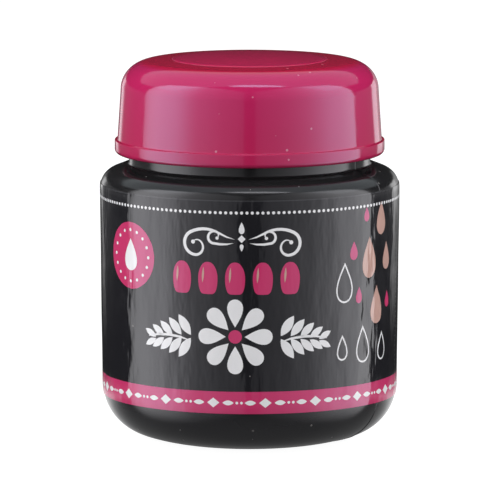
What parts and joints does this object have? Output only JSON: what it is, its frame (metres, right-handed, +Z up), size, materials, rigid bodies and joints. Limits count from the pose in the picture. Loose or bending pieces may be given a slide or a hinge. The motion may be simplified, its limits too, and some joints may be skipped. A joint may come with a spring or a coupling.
{
  "type": "sponge jar for nail polish remover",
  "caption": "Squat round plastic jar with a screw lid, a wrap label and a foam sponge inside with a finger hole, for wiping off nail polish.",
  "frame": {"origin": "middle of the ring that the jar stands on, on the jar's axis", "axes": "+Z up along the jar's axis; the middle of the label's front faces -Y, and +X is to the right of someone who looks at it"},
  "size_m": [0.0582, 0.0582, 0.0745],
  "materials": {
    "jar_plastic": "black polypropylene with a high gloss",
    "label_film": "black gloss film with pink, blush and white print",
    "sponge_foam": "open-cell foam",
    "seal_foil": "bright rolled foil",
    "liner_foam": "fine-cell foam sheet",
    "lid_plastic": "deep pink polypropylene with a high gloss",
    "disc_film": "clear gloss film over the deep pink lid"
  },
  "bodies": {
    "jar": {"jar": "jar_plastic", "label": "label_film", "sponge": "sponge_foam"},
    "seal": {"foil_seal": "seal_foil"},
    "liner": {"lid_liner": "liner_foam"},
    "lid": {"lid": "lid_plastic", "lid_disc": "disc_film"}
  },
  "joints": [
    {"name": "lid_lift", "type": "slide", "parent": "jar", "child": "seal", "axis": [0, 0, 1], "range_m": [0, 0.055]},
    {"name": "lid_rise", "type": "slide", "parent": "seal", "child": "liner", "axis": [0, 0, 1], "range_m": [0, 0.0051]},
    {"name": "lid_turn", "type": "hinge", "parent": "liner", "child": "lid", "pos_m": [0, 0, 0.065], "axis": [0, 0, 1], "range_deg": [0, 432]}
  ],
  "couplings": [
    {"joint": "lid_rise", "follows": "lid_turn", "m_per_rad": 0.00067375}
  ]
}
